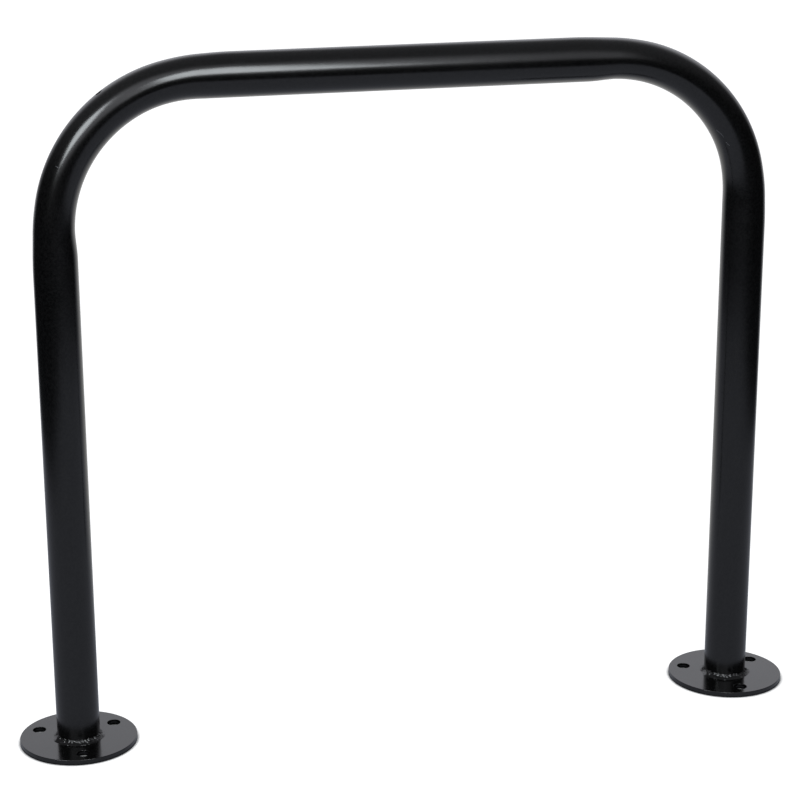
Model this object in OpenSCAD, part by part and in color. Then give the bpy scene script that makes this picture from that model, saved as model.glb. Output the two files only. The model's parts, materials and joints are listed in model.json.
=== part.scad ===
// Hoop barrier that stands in front of a charge point: one bent steel tube, welded to two round flange plates.
// Millimetres. The origin is on the floor, midway between the legs. X runs along the hoop and Z is up.

/* [Hoop] */
// Distance between the centre lines of the legs
leg_spacing = 775; // [500:5:1200]
// Height of the top of the rail above the floor
hoop_h = 768; // [450:2:1200]
// Outside diameter of the tube
tube_d = 48.3; // [38:0.1:64]
// Wall thickness of the tube
tube_wall = 3.2; // [2:0.1:5]
// Radius of the bends, to the centre line of the tube
bend_r = 160; // [130:1:210]

/* [Flattening in the bends, which are both drawn towards the right foot] */
// How far the outside of a bend is drawn in
outer_draw = 2.7; // [0:0.1:4]
// How far the inside of a bend is pressed in by the die
inner_press = 1.7; // [0:0.1:4]
// How far each side of a bend spreads
side_spread = 0.8; // [0:0.1:2]
// Length of straight tube ahead of a bend that is drawn in on the outside
outer_before = 45; // [30:1:45]
// Length at the start of a bend in which the outside is drawn in fully
outer_full = 30; // [10:1:50]
// Length at the end of a bend in which the outside eases back
outer_ease = 36; // [20:1:60]
// Length of straight tube after a bend that is still drawn in on the outside
outer_after = 34; // [20:1:34]
// Length of straight tube ahead of a bend that the die's edge marks on the inside
inner_before = 28; // [15:1:45]
// Length at the start of a bend in which the inside is pressed in fully
inner_full = 3; // [1:1:20]
// Length at the end of a bend in which the inside eases back
inner_ease = 78; // [40:1:100]
// Length of straight tube after a bend that is still pressed in on the inside
inner_after = 8; // [0:1:20]

/* [Vent holes] */
// Diameter of the vent hole in each bend
vent_d = 8; // [4:0.5:12]
// Place of the vent hole, in degrees of bend up from the leg
vent_turn = 54; // [20:1:75]

/* [Flange plates] */
// Diameter of a flange plate
plate_d = 132; // [128:1:200]
// Thickness of a flange plate
plate_t = 6; // [4:0.5:12]
// Number of fixing holes in a plate
hole_count = 3; // [3:1:4]
// Diameter of a fixing hole
hole_d = 15; // [9:0.5:17]
// Diameter of the circle that the fixing holes lie on
hole_circle_d = 98; // [96:1:106]
// Turn of the hole pattern, from the X axis to its first hole
hole_turn = 30; // [0:5:90]

/* [Welds] */
// Leg length of the fillet weld round the foot of each leg
weld_leg = 5; // [3:0.5:6]
// How far the weld's face bulges beyond a straight one
weld_crown = 0.5; // [0.2:0.1:0.8]

/* [Hidden] */
$fn = 72;

tube_r = tube_d / 2;
leg_x = leg_spacing / 2;
rail_z = hoop_h - tube_r;
// Height at which a leg ends and its bend begins
tangent_z = rail_z - bend_r;
arc_len = bend_r * PI / 2;

// The bends are this much slimmer than the straights, so that their facets don't share an edge with a true round
seam = 0.05;
// How far a cutter runs past the faces it cuts
over = 1;
// Sides of the bent tube, and stations along the start, the middle and the end of a bend
sides = 36;
start_steps = 10;
mid_steps = 8;
finish_steps = 9;

// Rises smoothly from 0 to 1 as t does
function smooth(t) =
    let (u = min(max(t, 0), 1))
    u * u * (3 - 2 * u);

// Share of the full flattening at s, the distance along the centre line from the bend's start
function press(s, before, full, ease, after) =
    smooth((s + before) / (before + full)) * smooth((arc_len + after - s) / (ease + after));

// Turn of the centre line at s, in degrees from its direction ahead of the bend
function turn_at(s) = 90 * min(max(s / arc_len, 0), 1);

// Ring of points round a bend at s, inset from the tube's skin. The bend is seen from the middle of its arc: the tube
// comes up on the left, and leaves level at the top. It runs on straight past both ends of the bend.
function ring(s, inset) =
    let (
        turn = turn_at(s),
        below = min(s, 0),
        beyond = max(s - arc_len, 0),
        outer_share = press(s, outer_before, outer_full, outer_ease, outer_after),
        inner_share = press(s, inner_before, inner_full, inner_ease, inner_after),
        r = tube_r - seam - inset,
        outer = r - outer_draw * outer_share,
        inner = r - inner_press * inner_share,
        side = r + side_spread * outer_share
    )
    [for (k = [0:sides - 1])
        let (a = 360 * k / sides, reach = bend_r + (cos(a) > 0 ? outer : inner) * cos(a))
        [beyond - reach * cos(turn), side * sin(a), below + reach * sin(turn)]];

// Straight lengths of a bend's piece, ahead of the bend and after it
ahead = max(outer_before, inner_before);
behind = max(outer_after, inner_after);
ease = max(outer_ease, inner_ease);

// Stations of a bend, closest together at its start, where the section changes quickest
start_run = ahead + outer_full;
mid_run = arc_len - outer_full - ease;
finish_run = ease + behind;
stations = concat(
    [for (i = [0:start_steps]) -ahead + i * start_run / start_steps],
    [for (i = [1:mid_steps]) outer_full + i * mid_run / mid_steps],
    [for (i = [1:finish_steps]) arc_len - ease + i * finish_run / finish_steps]
);

// The two triangles of a four-sided face
function halves(a, b, c, d) = [[a, b, c], [a, c, d]];

// A bend with the short straights at its ends, as one tube with a skin and a bore
module bend() {
    rings = len(stations);
    bore = rings * sides;
    points = [
        for (inset = [0, tube_wall], s = stations)
            each ring(s, inset)
    ];
    skin_faces = [
        for (j = [0:rings - 2], k = [0:sides - 1])
            let (p = j * sides + k, q = j * sides + (k + 1) % sides)
            each halves(p, q, q + sides, p + sides)
    ];
    bore_faces = [
        for (j = [0:rings - 2], k = [0:sides - 1])
            let (p = bore + j * sides + k, q = bore + j * sides + (k + 1) % sides)
            each halves(p + sides, q + sides, q, p)
    ];
    foot_faces = [
        for (k = [0:sides - 1])
            let (q = (k + 1) % sides)
            each halves(q, k, bore + k, bore + q)
    ];
    last = (rings - 1) * sides;
    head_faces = [
        for (k = [0:sides - 1])
            let (p = last + k, q = last + (k + 1) % sides)
            each halves(p, q, bore + q, bore + p)
    ];
    polyhedron(points, concat(skin_faces, bore_faces, foot_faces, head_faces));
}

// Straight tube of a given length, up from the origin
module straight(length) {
    difference() {
        cylinder(d = tube_d, h = length);
        translate([0, 0, -over]) cylinder(r = tube_r - tube_wall, h = length + 2 * over);
    }
}

// Cutter for a vent hole on the outside of a bend, at a turn from its start
module vent_cutter(turn) {
    rotate([0, turn - 90, 0])
        translate([0, 0, bend_r])
            cylinder(d = vent_d, h = tube_d);
}

// Puts a bend, or a cutter in one, between the left leg and the rail
module at_left() {
    translate([bend_r - leg_x, 0, tangent_z]) children();
}

// The same between the rail and the right leg
module at_right() {
    translate([leg_x - bend_r, 0, tangent_z]) rotate([0, 90, 0]) children();
}

module hoop_tube() {
    leg_len = tangent_z - plate_t;
    rail_start = bend_r - leg_x + behind;
    rail_len = leg_spacing - 2 * bend_r - behind - ahead;
    color([0.07, 0.07, 0.07])
        difference() {
            union() {
                translate([-leg_x, 0, plate_t]) straight(leg_len - ahead);
                translate([leg_x, 0, plate_t]) straight(leg_len - behind);
                translate([rail_start, 0, rail_z]) rotate([0, 90, 0]) straight(rail_len);
                at_left() bend();
                at_right() bend();
            }
            at_left() vent_cutter(vent_turn);
            at_right() vent_cutter(90 - vent_turn);
        }
}

// Round flange plate with its fixing holes, centred under a leg
module base_plate() {
    color([0.09, 0.09, 0.09])
        difference() {
            cylinder(d = plate_d, h = plate_t);
            for (i = [0:hole_count - 1])
                rotate([0, 0, hole_turn + i * 360 / hole_count])
                    translate([hole_circle_d / 2, 0, -over])
                        cylinder(d = hole_d, h = plate_t + 2 * over);
        }
}

module left_base_plate() {
    translate([-leg_x, 0, 0]) base_plate();
}

module right_base_plate() {
    translate([leg_x, 0, 0]) base_plate();
}

// Fillet weld round a leg. Its face is an arc through both toes, bulging by the crown.
module weld() {
    chord = weld_leg * sqrt(2);
    face_r = (chord * chord / 4 + weld_crown * weld_crown) / (2 * weld_crown);
    // The arc's centre lies back from the middle of the chord, on the diagonal
    back = (face_r - weld_crown) / sqrt(2);
    centre = weld_leg / 2 - back;
    color([0.08, 0.08, 0.08])
        translate([0, 0, plate_t])
            rotate_extrude()
                translate([tube_r, 0])
                    intersection() {
                        square(weld_leg);
                        translate([centre, centre]) circle(r = face_r);
                    }
}

module left_weld() {
    translate([-leg_x, 0, 0]) weld();
}

module right_weld() {
    translate([leg_x, 0, 0]) weld();
}

hoop_tube();
left_base_plate();
right_base_plate();
left_weld();
right_weld();
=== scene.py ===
"""Looks of a hoop barrier: a bent steel tube welded to two round flange plates, all in black powder coat."""

import json

import bpy
import numpy as np
from mathutils import Matrix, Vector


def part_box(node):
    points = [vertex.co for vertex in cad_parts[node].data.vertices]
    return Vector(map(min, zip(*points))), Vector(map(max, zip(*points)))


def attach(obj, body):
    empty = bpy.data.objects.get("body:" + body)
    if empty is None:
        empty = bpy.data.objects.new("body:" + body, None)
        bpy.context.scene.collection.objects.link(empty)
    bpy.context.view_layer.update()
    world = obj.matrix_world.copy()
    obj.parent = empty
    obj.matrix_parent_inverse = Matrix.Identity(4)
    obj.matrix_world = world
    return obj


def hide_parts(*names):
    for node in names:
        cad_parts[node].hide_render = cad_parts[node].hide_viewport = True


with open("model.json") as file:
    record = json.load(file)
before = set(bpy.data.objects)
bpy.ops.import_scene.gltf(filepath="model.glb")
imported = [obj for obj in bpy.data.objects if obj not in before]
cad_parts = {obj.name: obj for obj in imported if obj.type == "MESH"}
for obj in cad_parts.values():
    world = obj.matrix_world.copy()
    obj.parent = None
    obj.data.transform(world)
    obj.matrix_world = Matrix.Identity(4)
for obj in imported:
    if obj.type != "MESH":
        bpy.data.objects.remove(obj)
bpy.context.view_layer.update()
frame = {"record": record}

MM = 0.001
mounts = {m["name"]: m for m in frame["record"]["mounts"]}
bolts = mounts["right_bolts"]

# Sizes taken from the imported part
LEG_X = bolts["pos_m"][0]
HOLE_CIRCLE_R = bolts["dims"]["pcd_mm"] * MM / 2
HOLE_COUNT = bolts["dims"]["count"]
HOLE_R = bolts["dims"]["hole_r_mm"] * MM
PLATE_T = round(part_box("right_base_plate")[1].z, 4)
PLATE_R = round(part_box("right_base_plate")[1].y, 4)
RAIL_TOP = round(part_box("hoop_tube")[1].z, 4)

# Sizes of the tube, the same as in the part. Spans are lengths over which the flattening comes in, before a
# bend and inside its start, and then goes out, inside its end and after it.
TUBE_R = 24.15 * MM
WALL = 3.2 * MM
BEND_R = 160 * MM
OUTER_DRAW = 2.7 * MM
INNER_PRESS = 1.7 * MM
SIDE_SPREAD = 0.8 * MM
OUTER_SPANS = np.array([45, 30, 36, 34]) * MM
INNER_SPANS = np.array([28, 3, 78, 8]) * MM
VENT_R = 4 * MM
VENT_TURN = np.radians(54)
HOLE_TURN = np.radians(30)
WELD_LEG = 5 * MM

# How far the edges of the plates, their holes and the vents are rounded
EDGE = 0.5 * MM
HOLE_EDGE = 0.4 * MM
VENT_LIP = 0.5 * MM

# Lengths along the centre line, and where the bends start, counted from the left foot up and over
LEG_RUN = RAIL_TOP - TUBE_R - BEND_R - PLATE_T
ARC = BEND_R * np.pi / 2
RAIL_RUN = 2 * (LEG_X - BEND_R)
BEND_STARTS = (LEG_RUN, LEG_RUN + ARC + RAIL_RUN)
WHOLE_RUN = 2 * (LEG_RUN + ARC) + RAIL_RUN
# Distances along the tube of the two vent holes, and the turn of the tube there
VENTS = ((BEND_STARTS[0] + BEND_R * VENT_TURN, VENT_TURN),
         (BEND_STARTS[1] + BEND_R * (np.pi / 2 - VENT_TURN), np.pi - VENT_TURN))

random = np.random.default_rng(7)


class Sheets:
    """Grids of points, kept as four-sided faces and joined wherever their points coincide."""

    # Points this near to each other are one, and edges with a turn of more degrees than this stay sharp
    JOIN = 1e-6
    CREASE = 50

    def __init__(self):
        self.points = []
        self.faces = []
        self.count = 0

    def grid(self, points, flip=False, wrap=False, keep=None):
        """Adds rows x columns x 3 points. wrap joins the last column to the first; keep masks the faces."""
        rows, columns = points.shape[:2]
        index = self.count + np.arange(rows * columns).reshape(rows, columns)
        here = index if wrap else index[:, :-1]
        beside = np.roll(index, -1, axis=1) if wrap else index[:, 1:]
        quads = np.stack([here[:-1], beside[:-1], beside[1:], here[1:]], axis=-1)
        quads = quads[keep] if keep is not None else quads.reshape(-1, 4)
        self.faces.append(quads[:, ::-1] if flip else quads)
        self.points.append(points.reshape(-1, 3))
        self.count += rows * columns

    def cap(self, ring, flip=False):
        """Closes a flat ring of points with one face."""
        index = self.count + np.arange(len(ring))
        self.faces.append((index[::-1] if flip else index)[None])
        self.points.append(ring)
        self.count += len(ring)

    def piece(self, name):
        """Welds coinciding points and makes a smooth-shaded object."""
        points = np.concatenate(self.points)
        _, first, back = np.unique(np.round(points / self.JOIN).astype(np.int64), axis=0,
                                   return_index=True, return_inverse=True)
        faces = [back.reshape(-1)[f] for f in self.faces]
        mesh = bpy.data.meshes.new(name)
        mesh.from_pydata(points[first].tolist(), [], [row for f in faces for row in f.tolist()])
        mesh.polygons.foreach_set("use_smooth", np.ones(len(mesh.polygons), bool))
        mesh.set_sharp_from_angle(angle=np.radians(self.CREASE))
        mesh.update()
        piece = bpy.data.objects.new(name, mesh)
        bpy.context.scene.collection.objects.link(piece)
        return piece


def smooth(t):
    """Rises from 0 to 1 as t does, level at both ends: 3 t^2 - 2 t^3."""
    t = np.clip(t, 0, 1)
    return t * t * (3 - 2 * t)


def press(s, spans):
    """Share of the full flattening at s. In each bend it is a smooth step up times a smooth step down.

    Both bends are drawn the same way along the tube, so the start of each is the sharper end.
    """
    before, full, ease, after = spans
    rises = [smooth((s - start + before) / (before + full)) for start in BEND_STARTS]
    falls = [smooth((start + ARC + after - s) / (ease + after)) for start in BEND_STARTS]
    return sum(rise * fall for rise, fall in zip(rises, falls))


def tube_surface(s, phi, inset=0.0):
    """Points of the tube's skin, or of its bore for an inset.

    The centre line is a vertical, a quarter circle, a level line, a quarter circle and a vertical. phi runs
    round it from the outside of the bends. The section is two half ellipses, one on the outside of the bend
    and one on the inside.
    """
    turns = [np.clip(s - start, 0, ARC) / BEND_R for start in BEND_STARTS]
    turn = turns[0] + turns[1]
    rail = np.clip(s - BEND_STARTS[0] - ARC, 0, RAIL_RUN)
    down = np.maximum(s - BEND_STARTS[1] - ARC, 0)
    x = -LEG_X + BEND_R * (1 - np.cos(turns[0]) + np.sin(turns[1])) + rail
    z = PLATE_T + np.minimum(s, LEG_RUN) + BEND_R * (np.sin(turns[0]) + np.cos(turns[1]) - 1) - down
    outer = TUBE_R - inset - OUTER_DRAW * press(s, OUTER_SPANS)
    inner = TUBE_R - inset - INNER_PRESS * press(s, INNER_SPANS)
    side = TUBE_R - inset + SIDE_SPREAD * press(s, OUTER_SPANS)
    reach = np.where(np.cos(phi) > 0, outer, inner) * np.cos(phi)
    return np.stack([x - reach * np.cos(turn), side * np.sin(phi), z + reach * np.sin(turn)], axis=-1)


# Faces round the tube, and from a vent's middle to each side of its window
COLUMNS = 96
WINDOW = 4
# Rows of faces along a leg, through a bend's start, through the rest of the bend, along the rail, and so on
ROWS = (14, 24, 54, 10, 24, 54, 14)
# How far into a bend the close rows at its start go
START_REACH = INNER_SPANS[1] + 2 * MM
# Rings between a vent and its window's border, round its lip, and down its wall
WINDOW_RINGS = 6
LIP_RINGS = 5
WALL_RINGS = 3


def tube_rows(windows, half_window):
    """Distances along the tube of its rings: even between stops at the bends, and those of each window."""
    stops = [0.0]
    for start in BEND_STARTS:
        stops += [start - OUTER_SPANS[0], start + START_REACH, start + ARC + OUTER_SPANS[3]]
    stops.append(WHOLE_RUN)
    rows = [np.linspace(a, b, n, endpoint=False) for a, b, n in zip(stops, stops[1:], ROWS)]
    rows = np.append(np.concatenate(rows), WHOLE_RUN)
    # Rows in a window, or close beside it, give way to the window's own
    for at, _ in VENTS:
        rows = rows[np.abs(rows - at) > 1.2 * half_window]
    return np.sort(np.concatenate([rows, *windows]))


def vent_ring(at, angles, radius, inset):
    """Where a round hole of that radius, square to the bend at a vent, cuts the skin or bore, as (s, phi)."""
    along = radius * np.cos(angles)
    across = radius * np.sin(angles)
    phi = np.arcsin(across / (TUBE_R - inset + SIDE_SPREAD))
    reach = BEND_R + (TUBE_R - inset - OUTER_DRAW) * np.cos(phi)
    return at + BEND_R * np.arcsin(along / reach), phi


def vent(sheets, window, window_phi, at, turn):
    """A vent hole in its window, on the skin and on the bore.

    Rings go over in equal steps from the hole's circle to the window's border. The hole's lip is a quarter
    circle, and its wall is straight lines from there down to the bore.
    """
    side = 2 * WINDOW
    border_s = np.concatenate([window[:-1], np.full(side, window[-1]),
                               window[:0:-1], np.full(side, window[0])])
    border_phi = np.concatenate([np.full(side, window_phi[0]), window_phi[:-1],
                                 np.full(side, window_phi[-1]), window_phi[:0:-1]])
    angles = np.arctan2(np.sin(border_phi) * TUBE_R, (border_s - at) * (BEND_R + TUBE_R) / BEND_R)
    share = np.linspace(0, 1, WINDOW_RINGS)[:, None]
    for inset, flip in ((0.0, True), (WALL, False)):
        rim_s, rim_phi = vent_ring(at, angles, VENT_R if inset else VENT_R + VENT_LIP, inset)
        s, phi = rim_s + share * (border_s - rim_s), rim_phi + share * (border_phi - rim_phi)
        sheets.grid(tube_surface(s, phi, inset), flip=flip, wrap=True)
    outwards = np.array([-np.cos(turn), 0, np.sin(turn)])
    rings = []
    for bend in np.linspace(0, np.pi / 2, LIP_RINGS):
        ring = tube_surface(*vent_ring(at, angles, VENT_R + VENT_LIP * (1 - np.sin(bend)), 0.0))
        rings.append(ring - outwards * VENT_LIP * (1 - np.cos(bend)))
    top, bottom = rings[-1], tube_surface(*vent_ring(at, angles, VENT_R, WALL), WALL)
    rings += [top + (bottom - top) * step / WALL_RINGS for step in range(1, WALL_RINGS + 1)]
    sheets.grid(np.stack(rings), wrap=True)


def hoop():
    """The whole bent tube, with its skin, bore, open ends and a vent hole in each bend.

    The skin and the bore are grids over s and phi, each with a window left out for each vent.
    """
    half_phi = 2 * np.pi * WINDOW / COLUMNS
    half_window = TUBE_R * half_phi * BEND_R / (BEND_R + TUBE_R)
    windows = [np.linspace(at - half_window, at + half_window, 2 * WINDOW + 1) for at, _ in VENTS]
    rows = tube_rows(windows, half_window)
    phi = (np.arange(COLUMNS) - WINDOW) * 2 * np.pi / COLUMNS
    keep = np.ones((len(rows) - 1, COLUMNS), bool)
    for window in windows:
        first = np.searchsorted(rows, window[0] - 0.01 * MM)
        keep[first:first + 2 * WINDOW, :2 * WINDOW] = False
    sheets = Sheets()
    for inset, flip in ((0.0, False), (WALL, True)):
        sheets.grid(tube_surface(rows[:, None], phi[None], inset), flip=flip, wrap=True, keep=keep)
    for window, (at, turn) in zip(windows, VENTS):
        vent(sheets, window, phi[:2 * WINDOW + 1], at, turn)
    # The open ends at the feet
    for end, flip in ((rows[0], True), (rows[-1], False)):
        sheets.grid(np.stack([tube_surface(end, phi), tube_surface(end, phi, WALL)]), flip=flip, wrap=True)
    return sheets.piece("bent_tube")


# The disc in the middle of a plate, which the leg hides
CORE_R = 18 * MM
# Faces of a hole's sector along the plate's rim, along each of its sides and along the disc
RIM_FACES = 40
SIDE_FACES = 12
CORE_FACES = 16
# Shares of the way from a hole's rim to its sector's outline, where the face is cut
FACE_CUTS = (0, 0.02, 0.15, 0.35, 0.6, 0.85, 0.98, 1)


def polar(radius, angle):
    """Flat points at a radius and an angle: radius times cosine and sine."""
    return np.stack([radius * np.cos(angle), radius * np.sin(angle)], axis=-1)


def rounded_wall(edge):
    """Profile of a rounded plate edge from top to underside: distance kept from the wall, and height.

    Each corner is a quarter circle of radius edge, in four steps.
    """
    turn = np.linspace(0, np.pi / 2, 5)
    top = np.stack([edge * (1 - np.sin(turn)), PLATE_T - edge * (1 - np.cos(turn))], axis=-1)
    foot = np.stack([top[::-1, 0], PLATE_T - top[::-1, 1]], axis=-1)
    return np.concatenate([top, foot]).T


def flange_plate(name, x):
    """A round plate, as one sector for each hole, a rounded rim and a disc in the middle.

    A sector's face is ruled from its hole's rim to the sector's outline, along rays from the hole's centre.
    """
    sheets = Sheets()
    half = np.pi / HOLE_COUNT
    rim_r = PLATE_R - EDGE
    rim_arc = np.linspace(-half, half, RIM_FACES + 1)
    core_arc = np.linspace(half, -half, CORE_FACES + 1)
    radii = np.linspace(rim_r, CORE_R, SIDE_FACES + 1)
    outline_r = np.concatenate([np.full(RIM_FACES, rim_r), radii[:-1],
                                np.full(CORE_FACES, CORE_R), radii[:0:-1]])
    outline_a = np.concatenate([rim_arc[:-1], np.full(SIDE_FACES, half),
                                core_arc[:-1], np.full(SIDE_FACES, -half)])
    cuts = np.array(FACE_CUTS)[:, None, None]

    def place(flat, height):
        """Puts flat points under the leg, at a height."""
        height = np.broadcast_to(height, flat.shape[:-1])
        return np.concatenate([flat + [x, 0], height[..., None]], axis=-1)

    middles = HOLE_TURN + np.arange(HOLE_COUNT) * 2 * half
    for middle in middles:
        outline = polar(outline_r, outline_a + middle)
        centre = polar(HOLE_CIRCLE_R, middle)
        ray = outline - centre
        ray /= np.linalg.norm(ray, axis=-1, keepdims=True)
        rim = centre + ray * (HOLE_R + HOLE_EDGE)
        face = rim + cuts * (outline - rim)
        sheets.grid(place(face, PLATE_T), wrap=True, flip=True)
        sheets.grid(place(face, 0.0), wrap=True)
        off, height = rounded_wall(HOLE_EDGE)
        bore = centre + ray * (HOLE_R + off)[:, None, None]
        sheets.grid(place(bore, height[:, None]), wrap=True)
    off, height = rounded_wall(EDGE)
    around = np.concatenate([rim_arc[:-1] + middle for middle in middles])
    sheets.grid(place(polar((PLATE_R - off)[:, None], around), height[:, None]), wrap=True, flip=True)
    core = polar(CORE_R, np.concatenate([core_arc[:0:-1] + middle for middle in middles]))
    sheets.cap(place(core, PLATE_T))
    sheets.cap(place(core, 0.0), flip=True)
    return sheets.piece(name)


# Mean distances of the bead's toes up the tube and out on the plate, how hollow its face is and about how
# wide, how deep its back lies in the wall and the plate, and the height of the step at the plate's toe
TOE_UP = 5.6 * MM
TOE_OUT = 5.0 * MM
HOLLOW = 1.0 * MM
FACE = 6 * MM
SUNK = 0.3 * MM
TOE_STEP = 0.15 * MM
# Distance from one ripple to the next round the leg, and how far a ripple leans for each length down the face
RIPPLE_PITCH = 4.4 * MM
RIPPLE_SLANT = 0.7
SPECKS = 90
# Ripples and specks of spatter: least and most of the level across the face, and then, in millimetres, of the
# height, the length round the leg and the width
RIPPLE_RANGES = ((0.15, 0.4), (0.3, 0.88), (0.9, 1.2), (0.9, 1.5))
SPECK_RANGES = ((0.1, 0.95), (0.1, 0.35), (0.4, 1.0), (0.4, 0.9))
# Where the weld was stopped and started again: degrees from the right, half width in degrees, and how far the
# toe moves out
LUMPS = ((180, 9, -1.5 * MM), (201, 8, 1.6 * MM), (222, 9, 0.4 * MM), (318, 9, 0.3 * MM),
         (342, 12, 1.1 * MM), (12, 10, -0.8 * MM), (80, 12, 0.8 * MM), (120, 8, -0.6 * MM))
# Points round the bead and across its face
BEAD_COLUMNS = 900
BEAD_ROWS = 25


def weld_bead(name, x):
    """A hand-laid fillet bead round a leg.

    Its face runs from the toe on the tube to the toe on the plate, hollowed by a sine of the distance to the
    power 0.6, so that it has sagged. Bumps on it are bell curves of the distance round the leg and of the
    distance across the face: a slanted ripple for each dab of the weld, and small specks of spatter anywhere.
    Both toes wander as a sum of sines, with bell-shaped lumps of the angle.
    """
    around = np.linspace(0, 2 * np.pi, BEAD_COLUMNS, endpoint=False)
    across = np.linspace(0, 1, BEAD_ROWS)[:, None]
    radius = TUBE_R + WELD_LEG / 2
    between = random.uniform

    def bumps(at, ranges, slant=0.0):
        """Sum of bell curves, one for each angle, with a random level, height, length and width."""
        level, *sizes = (between(*limits, (len(at), 1, 1)) for limits in ranges)
        height, long, wide = (size * MM for size in sizes)
        down = (across - level) * FACE
        along = ((around - at[:, None, None] + np.pi) % (2 * np.pi) - np.pi) * radius - slant * down
        return np.sum(height * np.exp(-(along / long) ** 2 - (down / wide) ** 2), axis=0)

    def wander(size):
        """Slow change round the leg: a sum of sines with random phases."""
        waves = [np.sin(n * around + between(0, 2 * np.pi)) / n ** 0.6 for n in range(1, 9)]
        return size * np.sum(waves, axis=0) / 2

    count = int(2 * np.pi * radius / RIPPLE_PITCH)
    at = (np.arange(count) + between(-0.3, 0.3, count)) / count * 2 * np.pi
    ripples = bumps(at, RIPPLE_RANGES, RIPPLE_SLANT)
    specks = bumps(between(0, 2 * np.pi, SPECKS), SPECK_RANGES)
    lump = np.zeros_like(around)
    for middle, half, size in LUMPS:
        off = (np.degrees(around) - middle - between(-3, 3) + 180) % 360 - 180
        lump += size * np.exp(-(off / half) ** 2)
    # A ripple moves the toes with it, by its heights a fifth and three quarters of the way across the face
    near_tube, near_plate = ripples[BEAD_ROWS // 5], ripples[BEAD_ROWS * 3 // 4]
    toe_up = TOE_UP + wander(0.4 * MM) + 0.5 * lump + 0.6 * near_tube
    toe_out = TOE_OUT + wander(0.35 * MM) + lump + 0.8 * near_plate
    hollow = -HOLLOW + wander(0.15 * MM) + 0.2 * lump
    # The plate's toe ends in a short steep step
    step = TOE_STEP * (smooth((1 - across) / 0.08) - (1 - across))
    sag = hollow * np.sin(np.pi * across ** 0.6)
    bulge = (sag + (ripples + specks) * np.sin(np.pi * across) ** 0.3 + step) * np.sqrt(0.5)
    out = toe_out * across - SUNK * (1 - across) + bulge
    up = toe_up * (1 - across) - SUNK * across + bulge
    # The hidden back of the bead closes it inside the tube's wall and the plate
    out = np.concatenate([out, np.full((1, BEAD_COLUMNS), -SUNK), out[:1]])
    up = np.concatenate([up, np.full((1, BEAD_COLUMNS), -SUNK), up[:1]])
    reach = TUBE_R + out
    points = np.stack([x + reach * np.cos(around), reach * np.sin(around), PLATE_T + up], axis=-1)
    sheets = Sheets()
    sheets.grid(points, wrap=True, flip=True)
    return sheets.piece(name)


def linear(hex_colour):
    """A colour for a shader: each pair of hex digits from sRGB to linear."""
    parts = np.array([int(hex_colour[i:i + 2], 16) for i in (1, 3, 5)]) / 255
    curve = np.where(parts <= 0.04045, parts / 12.92, ((parts + 0.055) / 1.055) ** 2.4)
    return (*curve.tolist(), 1.0)


def node(tree, kind, inputs=None, **settings):
    """Adds a node with its settings; inputs gives each socket, by name or number, a value or a link."""
    made = tree.nodes.new(kind)
    for key, value in settings.items():
        setattr(made, key, value)
    for key, value in (inputs or {}).items():
        if isinstance(value, bpy.types.NodeSocket):
            tree.links.new(value, made.inputs[key])
        else:
            made.inputs[key].default_value = value
    return made


def maths(tree, operation, first, second):
    """One number out of two."""
    return node(tree, "ShaderNodeMath", {0: first, 1: second}, operation=operation).outputs[0]


def vector_maths(tree, operation, *terms):
    """A number for a dot product, a length or a distance, and a vector for the others."""
    result = "Value" if operation in ("DOT_PRODUCT", "LENGTH", "DISTANCE") else "Vector"
    return node(tree, "ShaderNodeVectorMath", dict(enumerate(terms)), operation=operation).outputs[result]


def ramp(tree, value, low, high, start=0.0, end=1.0, curve="SMOOTHSTEP"):
    """Goes from start to end while the value goes from low to high, and stays level outside them."""
    spans = {"Value": value, "From Min": low, "From Max": high, "To Min": start, "To Max": end}
    return node(tree, "ShaderNodeMapRange", spans, interpolation_type=curve).outputs["Result"]


def mix(tree, factor, first, second, kind="FLOAT"):
    """The first at a factor of 0 and the second at 1, as numbers or as RGBA colours."""
    inputs = {"Factor": factor, "A": first, "B": second}
    return node(tree, "ShaderNodeMix", inputs, data_type=kind).outputs["Result"]


def empty_tree(owner):
    """Turns an owner's nodes on and clears them."""
    owner.use_nodes = True
    owner.node_tree.nodes.clear()
    return owner.node_tree


def near_line(tree, place, start, end, half_width):
    """1 along a straight line between two points, falling smoothly to 0 at half_width from it."""
    run = end - start
    off = vector_maths(tree, "SUBTRACT", place, start)
    along = vector_maths(tree, "DOT_PRODUCT", off, run / (run @ run))
    part = node(tree, "ShaderNodeClamp", {"Value": along}).outputs["Result"]
    scaled = node(tree, "ShaderNodeVectorMath", {0: run, "Scale": part}, operation="SCALE")
    apart = vector_maths(tree, "DISTANCE", off, scaled.outputs["Vector"])
    return ramp(tree, apart, half_width, half_width * 0.4)


# Powder coat: its darkest colour and its lightest, which is partly painted sheen, the distance between its
# dimples, the size of patches with more or less gloss, how much they differ, and the levels of both noises
# between which they take effect
COAT_AND_SHEEN_COLOURS = ("#010101", "#090909")
COAT_IOR = 1.5
DIMPLE_PITCH = 2.5 * MM
DIMPLE_LEVELS = (0.35, 0.65)
PATCH_SIZE = 40 * MM
PATCH_LEVELS = (0.3, 0.7)
GLOSS_SPREAD = 0.12
# Coat that is rubbed grey and dull
SCUFF_COLOUR = "#3c3c40"
SCUFF_ROUGHNESS = 0.5


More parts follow.
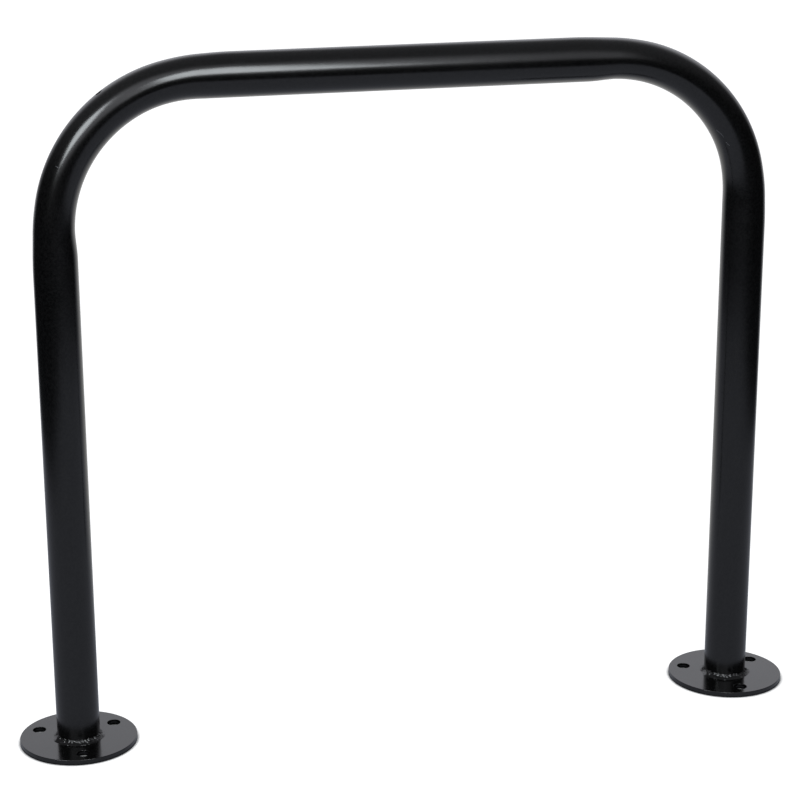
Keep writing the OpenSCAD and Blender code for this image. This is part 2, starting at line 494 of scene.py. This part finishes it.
def powder_coat(name, roughness, peel, scuffs=()):
    """Black polyester powder coat, baked on steel: a semi-gloss skin with a fine orange peel of depth peel.

    Each scuff is a start and an end on the skin, and a half width.
    """
    material = bpy.data.materials.new(name)
    tree = empty_tree(material)
    place = node(tree, "ShaderNodeTexCoord").outputs["Object"]
    # Orange peel: shallow dimples, which break up the edges of reflections
    noise = node(tree, "ShaderNodeTexNoise", {"Vector": place, "Scale": 1 / DIMPLE_PITCH, "Detail": 2.0})
    dimples = noise.outputs["Fac"]
    bump = node(tree, "ShaderNodeBump", {"Height": dimples, "Strength": 1.0, "Distance": peel})
    # Dust and painted sheen: the base colour is paler where the orange peel stands highest, standing in for
    # light caught on it, and gives even surfaces a faint grey mottle
    dust_and_sheen = ramp(tree, dimples, *DIMPLE_LEVELS, curve="LINEAR")
    skin = mix(tree, dust_and_sheen, *map(linear, COAT_AND_SHEEN_COLOURS), kind="RGBA")
    # Uneven gloss: patches where the powder lay thicker or has been rubbed
    patches = node(tree, "ShaderNodeTexNoise", {"Vector": place, "Scale": 1 / PATCH_SIZE, "Detail": 3.0})
    gloss = ramp(tree, patches.outputs["Fac"], *PATCH_LEVELS, roughness * (1 - GLOSS_SPREAD),
                 roughness * (1 + GLOSS_SPREAD), curve="LINEAR")
    if scuffs:
        worn = 0.0
        for start, end, half_width in scuffs:
            worn = maths(tree, "MAXIMUM", worn, near_line(tree, place, start, end, half_width))
        skin = mix(tree, worn, skin, linear(SCUFF_COLOUR), kind="RGBA")
        gloss = mix(tree, worn, gloss, SCUFF_ROUGHNESS)
    shader = node(tree, "ShaderNodeBsdfPrincipled", {
        "Base Color": skin, "Roughness": gloss, "IOR": COAT_IOR, "Normal": bump.outputs["Normal"]})
    node(tree, "ShaderNodeOutputMaterial", {"Surface": shader.outputs["BSDF"]})
    return material


# Scuffs on the tube: the bend, a start and an end, and a half width in millimetres. A start or an end is the
# degrees of bend up from the leg, and the degrees round the tube from the outside of the bend to the front.
# They are a bent and broken scratch on the inside of the right bend, and a nick on the left one. Each is
# really about 0.5 mm wide, and is drawn 0.8 to 1.3 mm wide with soft edges, so that it shows from here.
SCUFFS = (("right", (33.5, 145), (31.3, 139), 0.65), ("right", (31.3, 139), (29.3, 136), 0.6),
          ("right", (26.7, 136), (24.8, 131), 0.5), ("left", (25.7, 52), (25.7, 60), 0.4))


def tube_scuffs():
    """The scuffs as points on the tube's skin and half widths, all in metres."""
    def point(bend, turn, round_tube):
        run = BEND_R * np.radians(turn)
        s = BEND_STARTS[0] + run if bend == "left" else BEND_STARTS[1] + ARC - run
        return tube_surface(s, -np.radians(round_tube))

    return [(point(bend, *start), point(bend, *end), half * MM) for bend, start, end, half in SCUFFS]


# Directions of the middle of the backdrop, and of the light that the soft boxes spill. Angles from there, in
# degrees, to which each is at full strength and at which it ends, and the same for the backdrop's elevation.
BACKDROP_WAY = (0.26, 0.965, 0.0)
BACKDROP_ANGLES = (25, 64)
BACKDROP_HEIGHTS = (28, 55)
SPILL_WAY = (-0.24, -0.86, 0.45)
SPILL_ANGLES = (14, 44)
SPILL_STRENGTH = 1.35
# How the glow of the backdrop and of the rest of the room changes upwards: the two sines of the elevation
# between which it changes, and the glow below and above them. The spill comes in between its own two.
BACKDROP_GLOW = (-0.05, 0.42, 0.5, 1.13)
ROOM_GLOW = (0.1, 0.8, 0.03, 0.25)
SPILL_RISE = (0.04, 0.22)
ROOM_COLOUR = "#f7f8ff"
# How bright the room behind the part looks to the camera
ROOM_SEEN = 1.2


def backdrop_share(tree, way):
    """How far a direction looks towards the backdrop: 1 at its middle, 0 past its sides, seen from above."""
    flat = vector_maths(tree, "MULTIPLY", way, (1.0, 1.0, 0.0))
    towards = vector_maths(tree, "DOT_PRODUCT", vector_maths(tree, "NORMALIZE", flat), BACKDROP_WAY)
    full, none = np.cos(np.radians(BACKDROP_ANGLES))
    return ramp(tree, towards, none, full)


# Half the side of the floor, and the distances from the part at which the lit sheet on it starts to fade and
# ends, in metres. Distances to the sides count 1.25 times, because the sheet reaches further to the front.
FLOOR_REACH = 8.0
SHEET_FADE = (1.6, 1.9)
SHEET_STRETCH = (1.25, 1.0, 0.0)
# How bright gloss sees the sheet, the floor past it and the floor towards the backdrop, and the tones of the
# first and the last
SHEET_GLOW = 0.5
DARK_GLOW = 0.03
BACK_GLOW = 0.88
SHEET_TONE = "#ebf0ff"
BACK_TONE = "#ffffff"
# Distance from the part at which the backdrop's light on the floor is at its full strength
BACK_REACH = 0.8
# Distance over which painted shade falls on the floor near the part, and the open shares that leave none and
# all of its light
SHADE_REACH = 40 * MM
OPEN_SHARES = (0.43, 0.85)
# How white the camera sees the floor, and the paper's colour in the painted shade and in the open
SEEN_WHITE = "#f4f4f4"
PAPER_AND_PAINTED_SHADE_COLOURS = ("#696969", "#a8a8a8")


def paper_floor():
    """A wide pale floor, which glows for gloss most near the backdrop and is dark past the sheet's front edge.

    The camera sees it white, less painted shade near the part and the real shadows of the lamps; gloss on the
    part sees a painted glow in the pattern of the light on it, less the same painted shade.
    """
    sheets = Sheets()
    side = np.linspace(-FLOOR_REACH, FLOOR_REACH, 3)
    sheets.grid(np.stack([*np.meshgrid(side, side), np.zeros((3, 3))], axis=-1))
    floor = sheets.piece("floor")
    material = bpy.data.materials.new("white_paper")
    tree = empty_tree(material)
    place = node(tree, "ShaderNodeTexCoord").outputs["Object"]
    away = vector_maths(tree, "LENGTH", vector_maths(tree, "MULTIPLY", place, SHEET_STRETCH))
    sheet = ramp(tree, away, *SHEET_FADE, SHEET_GLOW, DARK_GLOW)
    behind = maths(tree, "MULTIPLY", ramp(tree, away, 0.0, BACK_REACH), backdrop_share(tree, place))
    lit = mix(tree, behind, sheet, BACK_GLOW)
    tone = mix(tree, behind, linear(SHEET_TONE), linear(BACK_TONE), kind="RGBA")
    # Painted shade from ambient occlusion under the plates, in their holes and in the corner at their edges
    sky = node(tree, "ShaderNodeAmbientOcclusion", {"Distance": SHADE_REACH}, samples=8).outputs["AO"]
    unshaded = ramp(tree, sky, *OPEN_SHARES)
    # The painted shade dims the glow that gloss sees
    glow = maths(tree, "MULTIPLY", lit, unshaded)
    mirrored = node(tree, "ShaderNodeEmission", {"Color": tone, "Strength": glow})
    path = node(tree, "ShaderNodeLightPath").outputs
    # The painted shade dims the white that the camera sees
    white = maths(tree, "MULTIPLY", path["Is Camera Ray"], unshaded)
    seen = node(tree, "ShaderNodeEmission", {"Color": linear(SEEN_WHITE), "Strength": white})
    # The paper's colour is darker in the painted shade
    paper_with_painted_shade = mix(tree, unshaded, *map(linear, PAPER_AND_PAINTED_SHADE_COLOURS), kind="RGBA")
    paper = node(tree, "ShaderNodeBsdfDiffuse", {"Color": paper_with_painted_shade})
    direct = node(tree, "ShaderNodeAddShader", {0: seen.outputs[0], 1: paper.outputs[0]})
    glossy = maths(tree, "MAXIMUM", path["Is Glossy Ray"], path["Is Transmission Ray"])
    both = node(tree, "ShaderNodeMixShader", {0: glossy, 1: direct.outputs[0], 2: mirrored.outputs[0]})
    node(tree, "ShaderNodeOutputMaterial", {"Surface": both.outputs[0]})
    floor.data.materials.append(material)


def studio():
    """The room: white to the camera, and to the part a bright backdrop behind it and dim ceiling and sides."""
    world = bpy.data.worlds.new("studio")
    bpy.context.scene.world = world
    tree = empty_tree(world)
    way = node(tree, "ShaderNodeTexCoord").outputs["Generated"]
    # The sine of the elevation
    height = node(tree, "ShaderNodeSeparateXYZ", {0: way}).outputs["Z"]
    low, top = np.sin(np.radians(BACKDROP_HEIGHTS))
    backdrop = maths(tree, "MULTIPLY", backdrop_share(tree, way), ramp(tree, height, top, low))
    room = mix(tree, backdrop, ramp(tree, height, *ROOM_GLOW), ramp(tree, height, *BACKDROP_GLOW))
    # Light that the two soft boxes spill on the wall and ceiling between and above them
    near = vector_maths(tree, "DOT_PRODUCT", way, SPILL_WAY)
    full, none = np.cos(np.radians(SPILL_ANGLES))
    spill = ramp(tree, near, none, full, 0.0, SPILL_STRENGTH)
    above = ramp(tree, height, *SPILL_RISE)
    room = maths(tree, "ADD", room, maths(tree, "MULTIPLY", spill, above))
    path = node(tree, "ShaderNodeLightPath").outputs
    seen = mix(tree, path["Is Camera Ray"], room, ROOM_SEEN)
    light = node(tree, "ShaderNodeBackground", {"Color": linear(ROOM_COLOUR), "Strength": seen})
    node(tree, "ShaderNodeOutputWorld", {"Surface": light.outputs[0]})


# Soft boxes, aimed at the left bend from the same distance
BOX_DISTANCE = 1.7
BOX_COLOUR = "#f6fcff"


def soft_box(name, azimuth, elevation, lean, wide, tall, radiance):
    """A soft box that faces the left bend, and leans left. All angles are in degrees, as seen from there.

    Azimuth is from the front towards the right; wide and tall are the angles that it fills.
    """
    aim = np.array([BEND_R / 3 - LEG_X, 0.0, RAIL_TOP - BEND_R / 3])
    around, rise, tip = np.radians([azimuth, elevation, lean])
    away = np.array([np.sin(around) * np.cos(rise), -np.cos(around) * np.cos(rise), np.sin(rise)])
    level = np.array([np.cos(around), np.sin(around), 0.0])
    upright = np.cross(away, level)
    right = level * np.cos(tip) + upright * np.sin(tip)
    up = upright * np.cos(tip) - level * np.sin(tip)
    light = bpy.data.lights.new(name, "AREA")
    light.shape = "RECTANGLE"
    light.size, light.size_y = (2 * BOX_DISTANCE * np.tan(np.radians([wide, tall]) / 2)).tolist()
    light.energy = radiance * np.pi * light.size * light.size_y
    light.color = linear(BOX_COLOUR)[:3]
    lamp = bpy.data.objects.new(name, light)
    turn = Matrix(np.stack([right, up, away], axis=-1).tolist()).to_4x4()
    lamp.matrix_world = Matrix.Translation(aim + away * BOX_DISTANCE) @ turn
    bpy.context.scene.collection.objects.link(lamp)


# The camera, found by fitting the hoop's edges to the photograph. Angles are in radians.
CAMERA_AT = (-0.5650, -2.2512, 1.0496)
CAMERA_YAW = 0.2016
CAMERA_PITCH = -0.2875
CAMERA_ROLL = -0.0149
PICTURE = 800
FOCAL_PIXELS = 2159.6
AXIS_PIXEL = (318.60, 408.71)


def camera():
    """The camera: forward from yaw and pitch, then rolled, with the lens axis off the picture's middle."""
    yaw, pitch, roll = CAMERA_YAW, CAMERA_PITCH, CAMERA_ROLL
    forward = np.array([np.sin(yaw) * np.cos(pitch), np.cos(yaw) * np.cos(pitch), np.sin(pitch)])
    right = np.array([np.cos(yaw), -np.sin(yaw), 0.0])
    up = np.cross(right, forward)
    rolled_right = right * np.cos(roll) + up * np.sin(roll)
    rolled_up = up * np.cos(roll) - right * np.sin(roll)
    data = bpy.data.cameras.new("camera")
    data.sensor_width = 36
    data.lens = FOCAL_PIXELS / PICTURE * data.sensor_width
    data.shift_x = (PICTURE / 2 - AXIS_PIXEL[0]) / PICTURE
    data.shift_y = (AXIS_PIXEL[1] - PICTURE / 2) / PICTURE
    made = bpy.data.objects.new("camera", data)
    turn = Matrix(np.stack([rolled_right, rolled_up, -forward], axis=-1).tolist()).to_4x4()
    made.matrix_world = Matrix.Translation(CAMERA_AT) @ turn
    bpy.context.scene.collection.objects.link(made)
    bpy.context.scene.camera = made


def dress(piece, replaced, material):
    """Gives a piece its finish, hangs it on the root body and hides the solid that it stands for."""
    piece.data.materials.append(material)
    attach(piece, "root")
    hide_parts(replaced)


tube_coat = powder_coat("black_powder_coat_on_tube", roughness=0.2, peel=0.008 * MM, scuffs=tube_scuffs())
plate_coat = powder_coat("black_powder_coat_on_plate", roughness=0.16, peel=0.01 * MM)
weld_coat = powder_coat("black_powder_coat_on_weld", roughness=0.12, peel=0.006 * MM)

dress(hoop(), "hoop_tube", tube_coat)
for side, x in (("left", -LEG_X), ("right", LEG_X)):
    dress(flange_plate(f"{side}_flange_plate", x), f"{side}_base_plate", plate_coat)
    dress(weld_bead(f"{side}_weld_bead", x), f"{side}_weld", weld_coat)

paper_floor()
studio()
soft_box("front_soft_box", azimuth=11.3, elevation=28.0, lean=15.0, wide=19.5, tall=27.5, radiance=10.1)
soft_box("left_soft_box", azimuth=-45.5, elevation=27.4, lean=27.0, wide=23.5, tall=24.5, radiance=10.8)
camera()
bpy.context.scene.view_settings.view_transform = "Standard"
